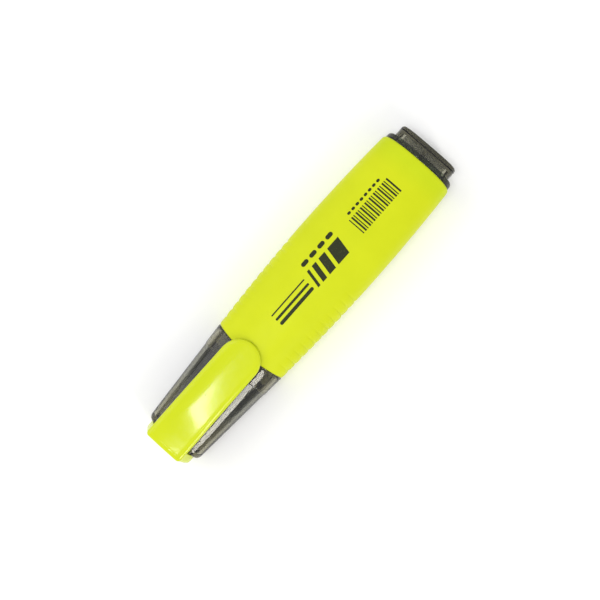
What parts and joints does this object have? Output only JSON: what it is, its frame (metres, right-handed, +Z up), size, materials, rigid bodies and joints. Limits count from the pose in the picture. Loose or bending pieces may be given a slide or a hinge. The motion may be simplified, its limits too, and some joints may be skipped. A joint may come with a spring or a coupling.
{
  "type": "highlighter pen",
  "caption": "Flat-bodied chisel highlighter lying on its back: oval barrel with finger grooves, smoke pull-off cap, springy pocket clip, stepped tail plug.",
  "frame": {"origin": "Centre of the bounding box's bottom face: the middle of the pen's length, on the table it lies on.", "axes": "X runs along the pen, nib towards -X and tail plug towards +X. Y is across its width. Z is up through its thickness, and the clip is on top, at +Z."},
  "size_m": [0.1164, 0.027, 0.0185],
  "materials": {
    "body_yellow": "satin",
    "clip_yellow": "gloss",
    "cap_smoke": "gloss",
    "inner_smoke": "gloss",
    "holder_smoke": "gloss",
    "tail_smoke": "gloss",
    "nib_felt": "satin",
    "fibre": "satin",
    "film": "gloss"
  },
  "bodies": {
    "pen": {"barrel": "body_yellow", "nib_holder": "holder_smoke", "chisel_nib": "nib_felt", "ink_reservoir": "fibre", "reservoir_film": "film", "tail_plug": "tail_smoke"},
    "cap": {"cap_shell": "cap_smoke", "inner_cap": "inner_smoke", "cap_end_plug": "clip_yellow"},
    "clip": {"clip_arm": "clip_yellow"}
  },
  "joints": [
    {"name": "cap_pull", "type": "slide", "parent": "pen", "child": "cap", "axis": [-1, 0, 0], "range_m": [0, 0.045]},
    {"name": "clip_flex", "type": "hinge", "parent": "cap", "child": "clip", "pos_m": [-0.05645, 0, 0.0164], "axis": [0, -1, 0], "range_deg": [0, 5], "stiffness_Nm_per_rad": 1}
  ]
}
